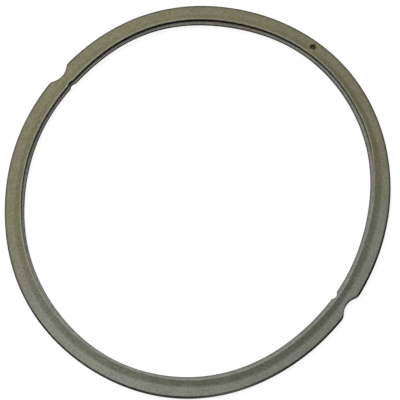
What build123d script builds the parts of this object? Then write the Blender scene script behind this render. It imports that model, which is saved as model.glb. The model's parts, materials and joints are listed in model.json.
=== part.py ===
"""Sealing ring for the lid of a stovetop pressure cooker, moulded in one piece from rubber.

The ring lies flat on its base, with its axis on +Z and the origin at the centre of the base.
Its section is a C that opens inwards: a solid heel outside, a raised upper lip and a longer
lower lip inside, and a groove between the lips, which the steam presses open.
All sizes are in millimetres and degrees.
"""

import os

from build123d import *

# Heel, the solid outer part, with a flat land on top
OUTER_DIAMETER = 240.0
WALL_HEIGHT = 4.4
WALL_EDGE_RADIUS = 0.6
LAND_WIDTH = 5.8
BASE_WIDTH = 7.0

# Upper lip, which rises from the land to a rounded crest
UPPER_LIP_REACH = 9.75
UPPER_LIP_THICKNESS = 1.2
CREST_RISE = 2.5
CREST_WIDTH = 0.5
CREST_RADIUS = 0.3
SLOPE_BLEND_RADIUS = 4.0

# Lower lip, whose tip is the innermost part of the ring
LOWER_LIP_REACH = 12.25
LIP_TIP_TOP = 4.2
LIP_TIP_THICKNESS = 1.3
LIP_TIP_RADIUS = 0.25

# Groove between the lips, measured at its root
GROOVE_WIDTH = 0.9
GROOVE_ROOT_INSET = 6.4
GROOVE_ROOT_RADIUS = 0.3

# Scallops in the outer wall, each with a nick in the lower lip behind it
# The two are not quite opposite each other, and behind the second the upper lip has a nick too
SCALLOP_COUNT = 2
SCALLOP_ANGLE = -37.0
SCALLOP_SPREAD = 173.4
SCALLOP_RADIUS = 11.0
SCALLOP_DEPTH = 3.2
SCALLOP_SHOULDER_RADIUS = 6.5
NICK_RADIUS = 2.8
LOWER_NICK_DEPTH = 1.1
UPPER_NICK_DEPTH = 0.7

# Round well in the land, where the rubber entered the mould
GATE_ANGLE = 53.3
GATE_INSET = 4.0
GATE_DIAMETER = 3.6
GATE_DEPTH = 1.6

# How near to a radius or a height a corner or a face counts as lying on it
ON_PLACE = 0.01

# Radii that follow from the sizes above
outer_radius = OUTER_DIAMETER / 2
land_radius = outer_radius - LAND_WIDTH
base_radius = outer_radius - BASE_WIDTH
groove_root = outer_radius - GROOVE_ROOT_INSET
crest_tip = outer_radius - UPPER_LIP_REACH
crest_edge = crest_tip + CREST_WIDTH
lip_bore = outer_radius - LOWER_LIP_REACH

# Heights above the base that follow from the sizes above
crest_height = WALL_HEIGHT + CREST_RISE
crest_underside = crest_height - UPPER_LIP_THICKNESS
groove_roof = WALL_HEIGHT - UPPER_LIP_THICKNESS
groove_floor = groove_roof - GROOVE_WIDTH
lip_tip_bottom = LIP_TIP_TOP - LIP_TIP_THICKNESS
groove_mouth_middle = (LIP_TIP_TOP + crest_underside) / 2


def corners_at(sketch, radius):
    """The corners of a section sketch that lie at one radius from the axis."""
    return sketch.vertices().filter_by_position(Axis.X, radius - ON_PLACE, radius + ON_PLACE)


def scallop_places(radius):
    """A place at each scallop's angle, at one radius from the axis."""
    return PolarLocations(radius, SCALLOP_COUNT, SCALLOP_ANGLE, SCALLOP_SPREAD, endpoint=True)


with BuildPart() as sealing_ring:
    # The section is drawn on +X and turned about the axis
    with BuildSketch(Plane.XZ) as section:
        with BuildLine():
            Polyline(
                (outer_radius, 0),
                (outer_radius, WALL_HEIGHT),
                (land_radius, WALL_HEIGHT),
                (crest_edge, crest_height),
                (crest_tip, crest_height),
                (crest_tip, crest_underside),
                (groove_root, groove_roof),
                (groove_root, groove_floor),
                (lip_bore, LIP_TIP_TOP),
                (lip_bore, lip_tip_bottom),
                (base_radius, 0),
                close=True,
            )
        make_face()
        fillet(corners_at(section, land_radius), SLOPE_BLEND_RADIUS)
        fillet(corners_at(section, crest_edge), CREST_RADIUS)
        fillet(corners_at(section, crest_tip), CREST_RADIUS)
        fillet(corners_at(section, groove_root), GROOVE_ROOT_RADIUS)
        fillet(corners_at(section, lip_bore), LIP_TIP_RADIUS)
    revolve(axis=Axis.Z)

    # Scallops: round bites out of the wall, whose shoulders run smoothly into it
    with BuildSketch():
        with scallop_places(outer_radius + SCALLOP_RADIUS - SCALLOP_DEPTH):
            Circle(SCALLOP_RADIUS)
    extrude(amount=crest_height, both=True, mode=Mode.SUBTRACT)
    shoulders = sealing_ring.edges(Select.LAST).filter_by(Axis.Z)
    fillet(shoulders, SCALLOP_SHOULDER_RADIUS)

    # The wall's top and bottom edges are rounded along the scallops as well
    flats = sealing_ring.faces().filter_by(Plane.XY)
    land = flats.filter_by_position(Axis.Z, WALL_HEIGHT - ON_PLACE, WALL_HEIGHT + ON_PLACE)[0]
    base = flats.sort_by(Axis.Z)[0]
    fillet(land.outer_wire().edges() + base.outer_wire().edges(), WALL_EDGE_RADIUS)

    # Nicks: small round bites out of the lips' tips, parted half way up the groove's mouth
    with BuildSketch():
        with scallop_places(lip_bore + LOWER_NICK_DEPTH - NICK_RADIUS):
            Circle(NICK_RADIUS)
    extrude(amount=groove_mouth_middle, mode=Mode.SUBTRACT)
    with BuildSketch(Plane.XY.offset(groove_mouth_middle)):
        with PolarLocations(crest_tip + UPPER_NICK_DEPTH - NICK_RADIUS, 1, SCALLOP_ANGLE + SCALLOP_SPREAD):
            Circle(NICK_RADIUS)
    extrude(amount=crest_height, mode=Mode.SUBTRACT)

    # Gate well, drilled from the crest's height so that it also clears the foot of the slope
    with Locations((0, 0, crest_height)):
        with PolarLocations(outer_radius - GATE_INSET, 1, GATE_ANGLE):
            Hole(GATE_DIAMETER / 2, depth=CREST_RISE + GATE_DEPTH)

sealing_ring.part.label = "sealing_ring"
print("sealing_ring", sealing_ring.part.bounding_box().size, round(sealing_ring.part.volume), "mm3")

os.makedirs("parts", exist_ok=True)
export_step(sealing_ring.part, "parts/sealing_ring.step")
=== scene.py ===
# %% [markdown]
# A moulded rubber sealing ring
#
# This lesson gives a sealing ring its looks. On the real cooker the ring lies in the rim of the lid:
# the solid heel presses against the rim, and two lips inside, with a groove between them, are pushed
# apart by the steam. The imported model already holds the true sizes, as a stiff round ring. A loose ring
# of soft rubber is never quite round, its edges are soft and its skin is mottled, so a new mesh is made
# here to stand for it.

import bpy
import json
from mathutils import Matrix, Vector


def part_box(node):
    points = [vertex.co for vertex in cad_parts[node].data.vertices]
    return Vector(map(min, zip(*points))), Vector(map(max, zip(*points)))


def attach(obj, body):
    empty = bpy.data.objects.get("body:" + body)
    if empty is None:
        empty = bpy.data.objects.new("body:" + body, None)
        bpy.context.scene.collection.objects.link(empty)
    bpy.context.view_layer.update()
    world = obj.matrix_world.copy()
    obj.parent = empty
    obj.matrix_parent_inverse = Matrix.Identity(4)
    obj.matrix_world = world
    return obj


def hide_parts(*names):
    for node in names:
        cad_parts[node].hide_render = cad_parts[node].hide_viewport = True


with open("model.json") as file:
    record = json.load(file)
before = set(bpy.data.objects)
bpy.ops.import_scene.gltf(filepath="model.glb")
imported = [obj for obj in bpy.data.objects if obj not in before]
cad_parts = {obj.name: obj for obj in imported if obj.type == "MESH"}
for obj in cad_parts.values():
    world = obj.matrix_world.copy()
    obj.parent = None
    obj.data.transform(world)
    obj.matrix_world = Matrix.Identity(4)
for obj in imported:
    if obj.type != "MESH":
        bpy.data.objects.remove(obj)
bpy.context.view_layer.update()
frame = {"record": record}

# %% [markdown]
# The sizes of the section
#
# A ring is one section carried round a path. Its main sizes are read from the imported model, so the
# looks follow if the model changes: the wall's radius and height and the bore of the lower lip are
# mounts, and the crest is the top of the box. The rest of the section can't be read from a box, so it
# is written here in millimetres.

# %% Sizes from the model
import bpy
import numpy as np

MM = 0.001

wall_edge_round = 0.6 * MM
tip_round = 0.25 * MM

ring_low, ring_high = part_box("sealing_ring")
mounts = {mount["name"]: mount for mount in frame["record"]["mounts"]}
lid_rim = mounts["lid_rim"]["dims"]
lip_bore = mounts["lip_bore"]["dims"]
outer_radius = lid_rim["r_mm"] * MM
wall_height = lid_rim["length_mm"] * MM + 2 * wall_edge_round
crest_height = ring_high.z
lower_reach = outer_radius - lip_bore["r_mm"] * MM
lip_tip_middle = mounts["lip_bore"]["pos_m"][2]
lip_tip_thickness = lip_bore["length_mm"] * MM + 2 * tip_round
print(f"outer radius {outer_radius:.4f}, wall {wall_height:.4f} high, crest {crest_height:.4f}")
print(f"lower lip reaches in {lower_reach:.4f}, its tip is {lip_tip_thickness:.4f} thick")

# %% Sizes of the lips and the groove
land_width = 5.8 * MM
base_width = 7.0 * MM
upper_reach = 9.75 * MM
upper_thickness = 1.2 * MM
crest_width = 0.5 * MM
crest_edge = upper_reach - crest_width
groove_inset = 6.4 * MM
groove_width = 0.9 * MM
lip_tip_top = lip_tip_middle + lip_tip_thickness / 2
lip_tip_bottom = lip_tip_middle - lip_tip_thickness / 2
groove_roof = wall_height - upper_thickness
groove_floor = groove_roof - groove_width
print(f"groove from {groove_floor:.4f} to {groove_roof:.4f} at its root")

# %% [markdown]
# The section with its round corners
#
# The section is a closed outline of corners, each an inset from the outer wall and a height above the
# base. Rubber can't hold a sharp edge, so every corner is an arc. A bevel modifier could do that, but
# it gives all edges one width. Here each corner has its own radius: small at the lips' tips, and large
# where the land runs up to the crest. A thin ridge half way up the wall is the seam where the halves of
# the mould met.

# %% Corners of the section
seam_rise = 0.12 * MM
seam_half_width = 0.22 * MM
seam_round = 0.08 * MM
slope_round = 3.0 * MM
crest_round = 0.3 * MM
groove_round = 0.3 * MM
base_round = 0.5 * MM
wall_middle = wall_height / 2
crest_underside = crest_height - upper_thickness
corners = np.array([
    (0, 0, wall_edge_round),
    (0, wall_middle - seam_half_width, seam_round),
    (-seam_rise, wall_middle, seam_round),
    (0, wall_middle + seam_half_width, seam_round),
    (0, wall_height, wall_edge_round),
    (land_width, wall_height, slope_round),
    (crest_edge, crest_height, crest_round),
    (upper_reach, crest_height, crest_round),
    (upper_reach, crest_underside, crest_round),
    (groove_inset, groove_roof, groove_round),
    (groove_inset, groove_floor, groove_round),
    (lower_reach, lip_tip_top, tip_round),
    (lower_reach, lip_tip_bottom, tip_round),
    (base_width, 0, base_round),
])


def rounded(corners, rounds, arc_points):
    """A closed outline whose corners are arcs.

    An arc touches both sides of its corner at a distance of the radius divided by the tangent of half
    the corner's angle, and its centre lies on the line that halves the angle. It turns from one touching
    point to the other.
    """
    back = np.roll(corners, 1, axis=0) - corners
    ahead = np.roll(corners, -1, axis=0) - corners
    back /= np.linalg.norm(back, axis=1, keepdims=True)
    ahead /= np.linalg.norm(ahead, axis=1, keepdims=True)
    half = np.arccos((back * ahead).sum(axis=1)) / 2
    middle = (back + ahead) / np.linalg.norm(back + ahead, axis=1, keepdims=True)
    centre = corners + middle * (rounds / np.sin(half))[:, None]
    first = corners + back * (rounds / np.tan(half))[:, None] - centre
    last = corners + ahead * (rounds / np.tan(half))[:, None] - centre
    start = np.arctan2(first[:, 1], first[:, 0])
    sweep = (np.arctan2(last[:, 1], last[:, 0]) - start + np.pi) % (2 * np.pi) - np.pi
    angle = start[:, None] + sweep[:, None] * np.linspace(0, 1, arc_points)
    spoke = np.stack([np.cos(angle), np.sin(angle)], axis=-1)
    return (centre[:, None] + rounds[:, None, None] * spoke).reshape(-1, 2)


outline = rounded(corners[:, :2], corners[:, 2], arc_points=7)
following = np.roll(outline, -1, axis=0)
area = np.sum(outline[:, 0] * following[:, 1] - outline[:, 1] * following[:, 0]) / 2
print("section outline of", len(outline), "points, area", round(abs(area) / MM**2, 1), "mm2")

# %% [markdown]
# More points on the straight sides
#
# Bends, bites and wells need points to show on. A Subdivision Surface modifier would add them, but it
# would also shrink the arcs and fill the whole ring alike. So each straight side is cut into parts here,
# and the land, where the small well is, gets the shortest ones.

# %% Fill the straight sides
coarse_step = 0.6 * MM
land_step = 0.15 * MM
hair = 0.1 * MM


def filled(outline, step):
    """Each side of a closed outline, cut into equal parts no longer than that side's step."""
    side = np.roll(outline, -1, axis=0) - outline
    parts = np.ceil(np.linalg.norm(side, axis=1) / step).clip(1).astype(int)
    number = np.repeat(np.arange(len(outline)), parts)
    share = (np.arange(len(number)) - (np.cumsum(parts) - parts)[number]) / parts[number]
    return outline[number] + side[number] * share[:, None]


on_land = (outline[:, 1] > wall_height - hair) & (outline[:, 0] < crest_edge - coarse_step)
section = filled(outline, np.where(on_land, land_step, coarse_step))
inset, height = section.T
print("section of", len(section), "points, inset up to", round(inset.max() / MM, 2), "mm")

# %% [markdown]
# Where the features are, and how closely the path is cut
#
# Two scallops are bitten out of the wall, with a nick in the lower lip behind each, and the land has
# one small well, where the rubber entered the mould. Their angles are the model's. The path has a line
# about every degree, and many more at the features: a density is written as a function of the angle,
# summed up, and read backwards.

# %% Cut the path
scallop_angles = np.radians([-37.0, 136.4])
well_angle = np.radians(53.3)
line_count = 490
plain_density = 1.0
scallop_density = 4.0
scallop_span = np.radians(5.5)
nick_density = 6.0
nick_span = np.radians(2.0)
well_density = 18.0
well_span = np.radians(1.6)


def turned(angle, to):
    """An angle measured from another one, from minus a half turn to a half turn."""
    return (angle - to + np.pi) % (2 * np.pi) - np.pi


def near(angle, place, span):
    """One within a span of a place and nothing beyond it, with soft ends.

    It is one over one plus the eighth power of the angle's share of the span.
    """
    return 1 / (1 + (turned(angle, place) / span) ** 8)


trial_count = 20001
trial = np.linspace(-np.pi, np.pi, trial_count)
density = plain_density + well_density * near(trial, well_angle, well_span)
for scallop_angle in scallop_angles:
    density += scallop_density * near(trial, scallop_angle, scallop_span)
    density += nick_density * near(trial, scallop_angle, nick_span)
summed = np.concatenate([[0], np.cumsum((density[1:] + density[:-1]) / 2)])
azimuth = np.interp(np.arange(line_count) / line_count * summed[-1], summed, trial)
gaps = np.diff(azimuth) * outer_radius / MM
print(f"{line_count} lines, {gaps.min():.2f} to {gaps.max():.2f} mm apart")

# %% [markdown]
# The path of a ring at rest
#
# Laid down loose, the ring settles a little oval, with a few weaker waves. A lattice could bend a round
# ring, but its handles would have to be moved by hand. So the path is a circle plus slow waves of two to
# seven to the turn, each with a height and the angle of its first top. The section stands square to the
# path, along the normal that points into the ring.

# %% Path and its inward normal
wave_counts = np.array([2, 3, 4, 5, 6, 7])
wave_heights = np.array([4.62, 0.50, 0.34, 0.13, 0.21, 0.13]) * MM
wave_tops = np.radians([71.5, 18.5, 9.0, -26.0, -23.0, 3.8])


def loose_path(azimuth):
    """Points of the outer edge and their inward normals, for a radius of a circle plus a sum of cosines.

    The tangent is the change of the point with the angle, and the normal is the tangent turned by a
    right angle.
    """
    phase = wave_counts * (azimuth[:, None] - wave_tops)
    radius = outer_radius + np.cos(phase) @ wave_heights
    change = -np.sin(phase) @ (wave_heights * wave_counts)
    outward = np.stack([np.cos(azimuth), np.sin(azimuth)], axis=1)
    along = np.stack([-np.sin(azimuth), np.cos(azimuth)], axis=1)
    tangent = outward * change[:, None] + along * radius[:, None]
    tangent /= np.linalg.norm(tangent, axis=1, keepdims=True)
    return outward * radius[:, None], np.stack([-tangent[:, 1], tangent[:, 0]], axis=1)


edge, inward = loose_path(azimuth)
print("outer edge spans", np.ptp(edge, axis=0).round(4), "m")

# %% [markdown]
# Scallops and nicks
#
# Each bite is a round one with round shoulders, as a punch leaves it: an arc for the bottom and an arc
# of the other hand at each side. Cutting with a boolean would leave ragged faces, so the grid is pushed
# instead: the wall moves in by the bite's depth, and the push fades out across the flat land. It ends
# before the round foot of the slope, which keeps its curve, and nothing folds over. The nicks are made
# in the same way, with the lips pulled back. The lower lip has one behind each scallop, and the upper
# lip only behind the far one.

# %% Push the wall in at the scallops
scallop_round = 11.0 * MM
scallop_depths = np.array([3.2, 3.0]) * MM
scallop_shoulder = 6.5 * MM


def bite(along, depth, radius, shoulder):
    """Depth of a round bite at a distance along the edge.

    The bottom is an arc of the radius. Each shoulder is an arc that touches both the bottom's arc and
    the edge, which sets how far along its centre lies. Beyond the shoulders the depth is nothing.
    """
    along = np.abs(along)
    reach = np.sqrt((radius + shoulder) ** 2 - (radius - depth + shoulder) ** 2)
    meet = reach * radius / (radius + shoulder)
    bottom = depth - radius + np.sqrt(np.clip(radius**2 - along**2, 0, None))
    side = shoulder - np.sqrt(np.clip(shoulder**2 - (reach - along) ** 2, 0, None))
    return np.where(along < meet, bottom, np.where(along < reach, side, 0))


grid_inset = np.tile(inset, (line_count, 1))
grid_height = np.tile(height, (line_count, 1))
slope_angle = np.arctan2(crest_height - wall_height, crest_edge - land_width)
foot_start = land_width - slope_round * np.tan(slope_angle / 2)
wall_share = np.interp(inset, [wall_edge_round, foot_start], [1, 0])
bitten = np.zeros(line_count)
for scallop_angle, scallop_depth in zip(scallop_angles, scallop_depths):
    along = turned(azimuth, scallop_angle) * outer_radius
    bitten += bite(along, scallop_depth, scallop_round, scallop_shoulder)
grid_inset += bitten[:, None] * wall_share
print("wall pushed in by up to", round(bitten.max() / MM, 2), "mm")

# %% Pull the lips back at the nicks
nick_angles = scallop_angles + np.radians([0.0, 0.4])
nick_round = 3.3 * MM
lower_nick_depths = np.array([1.3, 0.9]) * MM
upper_nick_depths = np.array([0.0, 0.7]) * MM
nick_shoulder = 0.8 * MM
mouth_middle = (lip_tip_top + crest_underside) / 2
parting = np.interp(inset, [groove_inset, upper_reach], [wall_height / 2, mouth_middle])
is_lower_lip = height < parting
lower_share = np.interp(inset, [base_width, lower_reach - coarse_step], [0, 1]) * is_lower_lip
upper_share = np.interp(inset, [land_width, crest_edge], [0, 1]) * ~is_lower_lip
for nick_angle, lower_depth, upper_depth in zip(nick_angles, lower_nick_depths, upper_nick_depths):
    at_lower = turned(azimuth, nick_angle) * (outer_radius - lower_reach)
    at_upper = turned(azimuth, nick_angle) * (outer_radius - upper_reach)
    grid_inset -= bite(at_lower, lower_depth, nick_round, nick_shoulder)[:, None] * lower_share
    grid_inset -= bite(at_upper, upper_depth, nick_round, nick_shoulder)[:, None] * upper_share
print("lips pulled back by up to", round((inset - grid_inset).max() / MM, 2), "mm")

# %% [markdown]
# The gate well
#
# The rubber was shot into the mould through one small gate. When the ring was pulled free, it tore off
# there and left a round well with a ragged nib of rubber at its inner edge. A painted dot would look
# flat from the side, and a boolean would leave a knife-sharp rim, so here too the grid is pushed: down
# inside a circle, with a soft rim.

# %% Sink the well and raise the nib
well_inset = 4.4 * MM
well_radius = 1.75 * MM
well_depth = 1.6 * MM
well_edge = 0.16 * MM
nib_inset = well_inset + 2.0 * MM
nib_along = -0.7 * MM
nib_radius = 0.8 * MM
nib_rise = 0.3 * MM

is_top = (height > wall_height - hair) & (inset < crest_edge)
well_along = turned(azimuth, well_angle)[:, None] * (outer_radius - well_inset)
from_well = np.hypot(well_along, grid_inset - well_inset)
from_nib = np.hypot(well_along - nib_along, grid_inset - nib_inset)
sunk = is_top * (1 - np.tanh((from_well - well_radius) / well_edge)) / 2
raised = is_top * np.exp(-((from_nib / nib_radius) ** 2))
grid_height += (nib_rise + well_depth * sunk) * raised - well_depth * sunk
print("well sunk by", round((height - grid_height).max() / MM, 2), "mm")
print("nib raised by", round((grid_height - height).max() / MM, 2), "mm")

# %% [markdown]
# Give of the lips
#
# Thin lips of soft rubber never lie dead straight. Slow waves move their tips in and out by a fraction
# of a millimetre, each lip in its own way, and fade out towards the heel. The lower lip, the longer
# one, lifts and sinks a little too. The upper lip leans in all round, a little more at one place, and
# at two places it has been pressed back. The line where the land turns up into the slope wanders as
# well. A modifier such as Wave would move the whole ring, so the grid is moved here.

# %% Waves of the lips
def waves(counts, heights, tops):
    """A sum of cosines round the ring, each with a count to the turn, a height and a first top."""
    return np.cos(np.array(counts) * (azimuth[:, None] - np.radians(tops))) @ np.array(heights)


def bumps(angles, heights, span):
    """A sum of bell curves round the ring, each at an angle and with a height, all of one span.

    A bell curve is e to the power of minus the square of the angle's share of the span.
    """
    away = turned(azimuth[:, None], np.radians(angles)) / np.radians(span)
    return np.exp(-(away**2)) @ np.array(heights)


upper_lean = 0.4 * MM

lower_waves = MM * waves([2, 3, 5, 6, 8], [0.17, 0.08, 0.16, 0.12, 0.16], [-55, -21, -6, 31, -7])
upper_heights = [0.28, 0.17, 0.28, 0.21, 0.12, 0.14]
upper_tops = [-120, -27, -6, -25, -14, 18]
upper_waves = MM * waves([1, 2, 3, 4, 5, 6], upper_heights, upper_tops)
upper_waves += upper_lean + MM * bumps([18, -36, 43], [-0.75, -0.80, 0.30], span=10)
foot_waves = MM * waves([4, 5, 6, 8], [0.22, 0.21, 0.12, 0.26], [-21, -28, -27, -8])
lift = MM * waves([3, 7, 13], [0.12, 0.08, 0.05], [17, -4, 7])
print(f"lip tips move in and out by {np.ptp(lower_waves) / MM:.2f} and {np.ptp(upper_waves) / MM:.2f} mm")

# %% Move the lips
lower_give = np.interp(inset, [base_width, lower_reach], [0, 1]) * is_lower_lip
upper_give = np.interp(inset, [land_width, crest_edge], [0, 1]) * ~is_lower_lip
foot_give = np.interp(inset, [land_width / 2, land_width, crest_edge], [0, 1, 0]) * is_top
grid_inset += lower_waves[:, None] * lower_give + upper_waves[:, None] * upper_give
grid_inset += foot_waves[:, None] * foot_give
grid_height += lift[:, None] * lower_give
print(f"lower lip lifts and sinks by {np.ptp(lift) / MM:.2f} mm")

# %% [markdown]
# The mesh
#
# The grid closes both ways, round the path and round the section, so it has no edge and no seam. A Screw
# modifier would turn the section too, but only into a true circle. The grid's points go into the mesh as
# whole arrays, and the four corners of each face are neighbours on the grid, taken in the order that
# makes the face point outwards.

# %% Make the ring
points = np.empty((line_count, len(section), 3))
points[..., :2] = edge[:, None] + inward[:, None] * grid_inset[..., None]
points[..., 2] = grid_height
number = np.arange(points.shape[0] * points.shape[1]).reshape(points.shape[:2])
next_line = np.roll(number, -1, axis=0)
corner_numbers = [number, next_line, np.roll(next_line, -1, axis=1), np.roll(number, -1, axis=1)]
faces = np.stack(corner_numbers, axis=-1).reshape(-1, 4)

mesh = bpy.data.meshes.new("moulded_ring")
mesh.vertices.add(number.size)
mesh.vertices.foreach_set("co", points.ravel())
mesh.loops.add(faces.size)
mesh.loops.foreach_set("vertex_index", faces.ravel())
mesh.polygons.add(len(faces))
mesh.polygons.foreach_set("loop_start", np.arange(0, faces.size, 4))
mesh.polygons.foreach_set("use_smooth", np.ones(len(faces), bool))
mesh.update(calc_edges=True)
mesh.validate()
ring = bpy.data.objects.new("moulded_ring", mesh)
bpy.context.scene.collection.objects.link(ring)
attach(ring, "root")
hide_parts("sealing_ring")
print(len(faces), "faces")

# %% Check that the faces point out
a, b, c, d = points.reshape(-1, 3)[faces].transpose(1, 0, 2)
volume = np.einsum("ij,ij->", a, np.cross(b, c) + np.cross(c, d)) / 6
print(f"{volume / MM**3:.0f} mm3, so the faces point", "out" if volume > 0 else "in")

# %% [markdown]
# Marks that follow the ring
#
# Turning lines from the mould run round the ring, so they need a place that follows it. A UV map would
# have a seam where it starts, so the place is kept as a vector on each point: the cosine and the sine
# of the angle, and the length along the section. Four more values say how much painted shade a point
# holds, how much lighter it is made, whether it lies on the slope, and how much lighter or darker its
# side of the ring is. They could be painted by hand on the mesh, but worked out from the section they
# follow every edge: shade is painted into the groove, the well, the wall and the lip's tip, where
# little light reaches; hands rub the crest and the lips lighter, and the lower lip is painted lighter
# still, to lift the crest's shadow off it; and one side of the ring is made lighter than the other.

# %% Store the turning lines
turn_length = 0.02
line_pitch = 0.35 * MM


def stored(name, values):
    """A value or a vector on each point of the ring, under a name that the material can read."""
    kind, field = ("FLOAT_VECTOR", "vector") if values.ndim == 3 else ("FLOAT", "value")
    mesh.attributes.new(name, kind, "POINT").data.foreach_set(field, values.ravel())


section_length = np.concatenate([[0], np.cumsum(np.linalg.norm(np.diff(section, axis=0), axis=1))])
turning_place = np.empty_like(points)
turning_place[..., 0] = (np.cos(azimuth) * outer_radius / turn_length)[:, None]
turning_place[..., 1] = (np.sin(azimuth) * outer_radius / turn_length)[:, None]
turning_place[..., 2] = section_length / line_pitch
stored("mould_lines", turning_place)
print(f"turning lines {line_pitch / MM:.2f} mm apart over {section_length[-1] / MM:.1f} mm")

# %% Painted shade in the groove
slack = 0.02 * MM
shade_fade = 0.4 * MM
left_side = np.radians(175)
left_creep = 0.45 * MM
left_thinning = 0.35

groove_top = np.interp(inset, [groove_inset, upper_reach], [groove_roof, crest_underside])
groove_bottom = np.interp(inset, [groove_inset, lower_reach], [groove_floor, lip_tip_top])
is_groove = (height < groove_top + slack) & (height > groove_bottom - slack)
is_groove &= inset > groove_inset - slack
from_crest = grid_inset - (upper_reach + upper_waves)[:, None]
on_left = np.cos(azimuth - left_side).clip(0)[:, None] ** 2
# Painted shade: the groove is darkened from its root out to the crest's edge, where light doesn't reach.
# On the left, where the crest's shadow falls on the lip, the dark reaches further out and is a little
# weaker.
groove_shade = is_groove * np.interp(from_crest - left_creep * on_left, [-shade_fade, 0], [1, 0])
groove_shade = groove_shade * (1 - left_thinning * on_left)
print("groove has", int(is_groove.sum()), "of the section's points")

# %% Painted shade on the wall
wall_shade_reach = 1.5 * MM
front_reach = 0.75 * MM
wall_strength = 0.68
front_strength = 0.10
front_side = np.radians(-90)
front_gain = 1.4
front_loss = 0.2
right_side = np.radians(-25)
right_span = np.radians(16)
right_strength = 0.12
full_loss_depth = 0.8 * MM
wall_places = [0.2, 0.53, 1]
wall_shares = [1, 0.7, 0]

in_front = (front_gain * np.cos(azimuth - front_side) - front_loss).clip(0, 1)
wall_reaches = wall_shade_reach + (front_reach - wall_shade_reach) * in_front
# Painted shade: the outer wall and the edge of the land are darkened, most at the front and the right,
# which face away from the lamp, and less where the scallops bite in.
wall_shade = np.interp(inset / wall_reaches[:, None], wall_places, wall_shares)
wall_strengths = wall_strength + waves([1, 3], [0.12, 0.05], [-40, -15]) + front_strength * in_front
wall_strengths += right_strength * near(azimuth, right_side, right_span)
wall_strengths *= 1 + bumps([-79.5, 5, -142, 136], [-0.45, -0.16, 0.28, 0.40], span=9)
scallop_shade_loss = bumps(np.degrees(scallop_angles), [0.70, 0.15], span=20)
wall_strengths *= 1 - scallop_shade_loss * (bitten / full_loss_depth).clip(0, 1)
wall_shade = wall_shade * wall_strengths[:, None]
print(f"wall's dirt from {wall_strengths.min():.2f} to {wall_strengths.max():.2f}")

# %% Painted shade along the lip's tip
tip_shade_width = 1.2 * MM
narrow_angle = np.radians(135)
narrow_span = np.radians(18)
narrowed = 0.48 * MM
wide_angle = np.radians(32)
wide_span = np.radians(20)
widened = 0.45 * MM
tip_places = [0, 0.5, 1]
tip_shares = [1, 0.55, 0]
tip_strength = 0.78
wide_strength = 0.1

tip_widths = tip_shade_width - narrowed * near(azimuth, narrow_angle, narrow_span)
tip_widths += widened * near(azimuth, wide_angle, wide_span)
# Painted shade: a dark band along the lower lip's tip, whose edge turns away from the light. It is
# darkest at the back left, away from the lamp, narrower at one place, and wider and darker at another.
tip_shade = np.interp((lower_reach - inset) / tip_widths[:, None], tip_places, tip_shares)
tip_strengths = tip_strength + waves([1], [0.22], [120])
tip_strengths += wide_strength * near(azimuth, wide_angle, wide_span)
tip_shade = tip_shade * tip_strengths[:, None]
print(f"tip's dirt {tip_widths.min() / MM:.2f} to {tip_widths.max() / MM:.2f} mm wide")

# %% Store the painted shade
well_strength = 0.75

# Painted shade in the well, whose walls keep the light off its floor. The nib is left out.
well_shade = well_strength * sunk * (1 - raised)
# Painted shade: at each point the darkest of the groove, wall, tip and well.
painted_shade = np.maximum(np.maximum(groove_shade, wall_shade), np.maximum(tip_shade, well_shade))
stored("painted_shade_mask", painted_shade)
print("dirt on", round(100 * float((painted_shade > 0.5).mean())), "percent of the points")

# %% Store the rubbed places, the lip's painted light and the slope
crest_rub = 0.44
lip_lightening = 0.80

# Partly wear, partly painted light: the lower lip's top is made lighter than rubbing alone would make it,
# to lift the crest's shadow off it, by a share that changes round the ring. The crest is lighter where
# rubbed.
is_lip_top = is_lower_lip & (height > groove_bottom - slack)
lip_rub_and_light = is_lip_top * np.interp(inset, [upper_reach, upper_reach + coarse_step], [0, 1])
lip_light_strengths = lip_lightening + waves([1], [0.03], [100]) + bumps([45, 85], [0.18, -0.14], span=12)
lip_rub_and_light = lip_rub_and_light * lip_light_strengths[:, None]
rubbed_crest = crest_rub * (height > crest_height - crest_round)
stored("rubbed_and_lit", np.maximum(np.maximum(lip_rub_and_light, rubbed_crest), raised))
slope_ends = [land_width - coarse_step, land_width + coarse_step, crest_edge - coarse_step, crest_edge]
slope = np.interp(inset, slope_ends, [0, 1, 1, 0]) * is_top
stored("slope", np.tile(slope, (line_count, 1)))
print("slope covers", round(100 * float((slope > 0.5).mean())), "percent of the section's points")

# %% Store the lighter and darker sides
slope_lightness_share = 0.4

# Slow waves round the ring make one side lighter and the other darker, less so on the slope.
side_lightness = waves([1, 2, 3, 4], [0.16, 0.036, 0.072, 0.034], [-141, 69, 0, -22])
side_lightness = 1 + side_lightness[:, None] * (1 + (slope_lightness_share - 1) * slope)
stored("side_lightness", side_lightness)
print(f"bloom from {side_lightness.min():.2f} to {side_lightness.max():.2f}")

# %% [markdown]
# The rubber
#
# The ring is grey-olive rubber, filled with chalk and matt from the mould. Towards the front it is
# greyer, and one side of the ring is lighter than the other. A painted picture would need a UV map and
# would blur from close by, so the colour is made with noise, in layers that are each a little unlike
# the last: olive to grey-green across the ring, blotches the size of a fingertip, fine chalk specks, the
# rubbed places with painted light on the lower lip, a darker slope, and last painted shade in the
# groove, the well, on the wall and along the lip's tip.

# %% Material
rubber = bpy.data.materials.new("grey_rubber")
rubber.use_nodes = True
nodes = rubber.node_tree.nodes
links = rubber.node_tree.links
shader = nodes["Principled BSDF"]
on_object = nodes.new("ShaderNodeTexCoord").outputs["Object"]
ring.data.materials.append(rubber)


def feed(socket, value):
    """Set a socket to a plain value, or link another socket to it."""
    if isinstance(value, bpy.types.NodeSocket):
        links.new(value, socket)
    else:
        socket.default_value = value


print("material", rubber.name)

# %% Blotches
patch_low, patch_high = 0.35, 0.65


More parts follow.
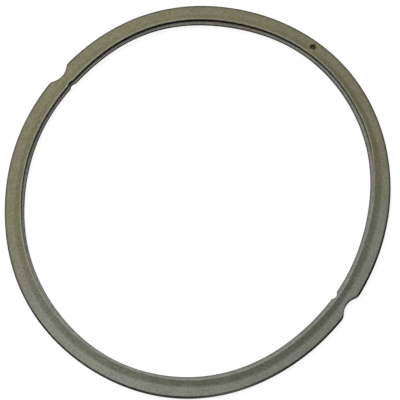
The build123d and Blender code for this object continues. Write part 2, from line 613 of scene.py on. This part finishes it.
def noise(vector, scale, detail):
    """A noise of a number of grains to the metre, with its detail."""
    node = nodes.new("ShaderNodeTexNoise")
    feed(node.inputs["Vector"], vector)
    feed(node.inputs["Scale"], scale)
    feed(node.inputs["Detail"], detail)
    return node.outputs["Fac"]


def spread(value, low, high, to_low, to_high):
    """A value carried smoothly from one range to another."""
    node = nodes.new("ShaderNodeMapRange")
    node.interpolation_type = "SMOOTHSTEP"
    feed(node.inputs["Value"], value)
    feed(node.inputs["From Min"], low)
    feed(node.inputs["From Max"], high)
    feed(node.inputs["To Min"], to_low)
    feed(node.inputs["To Max"], to_high)
    return node.outputs["Result"]


def patches(grains, pattern):
    """A share that goes from nothing to one in soft patches, with a number of them to the metre.

    The noise has a fourth dimension, and the pattern is a place along it. Another place gives others.
    """
    value = noise(on_object, grains, 2)
    value.node.noise_dimensions = "4D"
    feed(value.node.inputs["W"], pattern)
    return spread(value, patch_low, patch_high, 0, 1)


blotches = patches(grains=90, pattern=15.8)
print("blotches made of", len(nodes), "nodes")

# %% Olive and greyer rubber
brown_olive = (0.218, 0.192, 0.113, 1)
green_olive = (0.198, 0.200, 0.114, 1)
greyer_brown = (0.209, 0.212, 0.173, 1)
greyer_green = (0.203, 0.216, 0.175, 1)


def mixed(share, first, second):
    """Two colours mixed by a share, from the first at nothing to the second at one.

    A Mix node has sockets for each kind of value under the same names, so its colour ones go by number.
    """
    node = nodes.new("ShaderNodeMix")
    node.data_type = "RGBA"
    feed(node.inputs[0], share)
    feed(node.inputs[6], first)
    feed(node.inputs[7], second)
    return node.outputs[2]


def across(heading, start, end):
    """A share that rises from nothing to one across the ring, along a heading."""
    node = nodes.new("ShaderNodeVectorMath")
    node.operation = "DOT_PRODUCT"
    feed(node.inputs[0], on_object)
    feed(node.inputs[1], (np.cos(np.radians(heading)), np.sin(np.radians(heading)), 0))
    return spread(node.outputs["Value"], start, end, 0, 1)


olive = mixed(blotches, brown_olive, green_olive)
greyer = mixed(blotches, greyer_brown, greyer_green)
# Greyer towards the front.
colour = mixed(across(heading=-78, start=-0.02, end=0.06), olive, greyer)
print("colour made of", len(nodes), "nodes")

# %% Tints, and the lighter and darker sides
yellow_tint = (1.01, 1.00, 0.95, 1)
grey_tint = (0.99, 1.00, 1.05, 1)


def tinted(colour, tint):
    """A colour multiplied by another one."""
    node = nodes.new("ShaderNodeVectorMath")
    node.operation = "MULTIPLY"
    feed(node.inputs[0], colour)
    feed(node.inputs[1], tint)
    return node.outputs["Vector"]


def scaled(colour, factor):
    """A colour made lighter or darker by a factor."""
    node = nodes.new("ShaderNodeVectorMath")
    node.operation = "SCALE"
    feed(node.inputs["Vector"], colour)
    feed(node.inputs["Scale"], factor)
    return node.outputs["Vector"]


def read(name):
    """An attribute of the mesh, by its name."""
    node = nodes.new("ShaderNodeAttribute")
    node.attribute_name = name
    return node


colour = tinted(colour, mixed(patches(grains=110, pattern=6.7), yellow_tint, grey_tint))
# Lighter on one side of the ring and darker on the other.
colour = scaled(colour, read("side_lightness").outputs["Fac"])
print("colour made of", len(nodes), "nodes")

# %% Rubbed places, the lip's painted light, and specks
rubbed_and_lit_grey = (0.420, 0.430, 0.380, 1)
grain_low, grain_high = 0.3, 0.7


def varied(colour, grains, amount):
    """A colour made lighter and darker by up to an amount, with a number of grains to the metre."""
    value = noise(on_object, grains, 2)
    return scaled(colour, spread(value, grain_low, grain_high, 1 - amount, 1 + amount))


# Lighter grey where rubbed, and on the lower lip painted light as well.
colour = mixed(read("rubbed_and_lit").outputs["Fac"], colour, rubbed_and_lit_grey)
colour = varied(colour, grains=60, amount=0.05)
colour = varied(colour, grains=450, amount=0.06)
colour = varied(colour, grains=900, amount=0.18)
print("colour made of", len(nodes), "nodes")

# %% Darker slope and painted shade
painted_shade_colour = (0.012, 0.012, 0.008, 1)
untinted = (1, 1, 1, 1)
slope_tint = (0.880, 0.890, 0.825, 1)

painted_shade_mask = read("painted_shade_mask").outputs["Fac"]
# The slope is made a little darker and yellower than the land.
colour = tinted(colour, mixed(read("slope").outputs["Fac"], untinted, slope_tint))
# Painted shade: near-black where the groove, the well, the wall and the lip's tip are shaded.
colour = mixed(painted_shade_mask, colour, painted_shade_colour)
links.new(colour, shader.inputs["Base Color"])
print("colour made of", len(nodes), "nodes")

# %% Skin of the rubber
smoothest = 0.52
roughest = 0.68
shine = 0.35
skin_height = 0.05 * MM
skin_strength = 0.25

dull_spots = noise(on_object, scale=250, detail=3)
feed(shader.inputs["Roughness"], spread(dull_spots, grain_low, grain_high, smoothest, roughest))
# Where shade is painted, the shine is taken away as well.
feed(shader.inputs["Specular IOR Level"], spread(painted_shade_mask, 0, 1, shine, 0))
skin = nodes.new("ShaderNodeMath")
feed(skin.inputs[0], noise(read("mould_lines").outputs["Vector"], scale=1, detail=2))
feed(skin.inputs[1], noise(on_object, scale=1500, detail=2))
bump = nodes.new("ShaderNodeBump")
feed(bump.inputs["Strength"], skin_strength)
feed(bump.inputs["Distance"], skin_height)
feed(bump.inputs["Height"], skin.outputs["Value"])
feed(shader.inputs["Normal"], bump.outputs["Normal"])
print("rubber made of", len(nodes), "nodes")

# %% [markdown]
# Floor
#
# The ring lies on a white floor, as goods are shown in a catalogue. A floor that is white from its
# colour alone would throw its light up under the lips and take the black out of the groove. So the
# floor looks white to the camera, and in mirrors and glass, and is a dull grey to all other light. It
# still takes the ring's soft shadow.

# %% Floor
floor_half = 3.0
floor_drop = 0.02 * MM

floor_corners = np.array([(-1, -1, 0), (1, -1, 0), (1, 1, 0), (-1, 1, 0)]) * floor_half
floor_mesh = bpy.data.meshes.new("floor")
floor_mesh.from_pydata(floor_corners.tolist(), [], [(0, 1, 2, 3)])
floor = bpy.data.objects.new("floor", floor_mesh)
floor.location.z = -floor_drop
bpy.context.scene.collection.objects.link(floor)
print("floor", 2 * floor_half, "m wide")

# %% Floor material
floor_glow = 0.9
seen_grey = (0.2, 0.2, 0.2, 1)
unseen_grey = (0.5, 0.5, 0.5, 1)

paper = bpy.data.materials.new("white_floor")
paper.use_nodes = True
nodes = paper.node_tree.nodes
links = paper.node_tree.links
nodes.remove(nodes["Principled BSDF"])
floor.data.materials.append(paper)


def seen_directly():
    """One for a ray from the camera, or passed on by a mirror or a glass, and nothing for other light."""
    ray = nodes.new("ShaderNodeLightPath")
    share = ray.outputs["Is Camera Ray"]
    for kind in ("Is Glossy Ray", "Is Transmission Ray"):
        larger = nodes.new("ShaderNodeMath")
        larger.operation = "MAXIMUM"
        feed(larger.inputs[0], share)
        feed(larger.inputs[1], ray.outputs[kind])
        share = larger.outputs["Value"]
    return share


seen = nodes.new("ShaderNodeBsdfDiffuse")
feed(seen.inputs["Color"], seen_grey)
glow = nodes.new("ShaderNodeEmission")
feed(glow.inputs["Strength"], floor_glow)
seen_and_glow = nodes.new("ShaderNodeAddShader")
feed(seen_and_glow.inputs[0], seen.outputs["BSDF"])
feed(seen_and_glow.inputs[1], glow.outputs["Emission"])
unseen = nodes.new("ShaderNodeBsdfDiffuse")
feed(unseen.inputs["Color"], unseen_grey)
choice = nodes.new("ShaderNodeMixShader")
feed(choice.inputs["Fac"], seen_directly())
feed(choice.inputs[1], unseen.outputs["BSDF"])
feed(choice.inputs[2], seen_and_glow.outputs["Shader"])
feed(nodes["Material Output"].inputs["Surface"], choice.outputs["Shader"])
print("floor material made of", len(nodes), "nodes")

# %% [markdown]
# Light
#
# In the photo the slope is light at the back left and dark at the front right, and nothing has a hard
# shadow. That tells of one large soft lamp, high and behind to the left. Several small lamps would each
# draw a shadow of their own, so there is one square lamp, as wide as it is far away, and a faint light
# from all round.

# %% Lamp
from mathutils import Matrix, Vector


def direction(azimuth, elevation):
    """A unit vector at an angle round the axis and an angle above the floor."""
    a, e = np.radians([azimuth, elevation])
    return Vector((np.cos(e) * np.cos(a), np.cos(e) * np.sin(a), np.sin(e)))


def aimed(thing, place, target):
    """Put a lamp or a camera at a place, looking at a target, with its top towards +Y."""
    back = (place - target).normalized()
    right = Vector((0, 1, 0)).cross(back).normalized()
    turn = Matrix((right, back.cross(right), back)).transposed().to_4x4()
    thing.matrix_world = Matrix.Translation(place) @ turn
    bpy.context.scene.collection.objects.link(thing)


def soft_lamp(name, azimuth, elevation, distance, size, power):
    """A square lamp that looks at the ring."""
    lamp = bpy.data.lights.new(name, "AREA")
    lamp.size = size
    lamp.energy = power
    aimed(bpy.data.objects.new(name, lamp), direction(azimuth, elevation) * distance, Vector())


soft_lamp("key_lamp", azimuth=123, elevation=64, distance=2.6, size=2.6, power=64)

# %% Surroundings
white = (1, 1, 1, 1)
dim_world = 0.08
white_world = 1.0

world = bpy.data.worlds.new("studio")
bpy.context.scene.world = world
world.use_nodes = True
nodes = world.node_tree.nodes
links = world.node_tree.links
feed(nodes["Background"].inputs["Color"], white)
feed(nodes["Background"].inputs["Strength"], spread(seen_directly(), 0, 1, dim_world, white_world))
print("world of", len(nodes), "nodes")

# %% [markdown]
# The camera
#
# The ring was photographed from well above, a little from the front and a touch from the right: the
# wall shows at the front, the groove at the back. A long lens from over two metres away keeps the two
# sides alike in width.

# %% Camera
camera = bpy.data.cameras.new("camera")
camera.sensor_width = 36
camera.lens = 327.4
camera_distance = 2.2
camera_object = bpy.data.objects.new("camera", camera)
aim = Vector((1.81, -0.52, 0)) * MM
aimed(camera_object, aim + direction(azimuth=-84, elevation=72) * camera_distance, aim)
bpy.context.scene.camera = camera_object
bpy.context.scene.view_settings.view_transform = "Standard"
print("camera at", [round(x, 3) for x in camera_object.matrix_world.translation])

# %% [markdown]
# The size
#
# A loose oval ring can't have quite the same box as a round one, but the looks must not stray far from
# the model.

# %% The end
import json
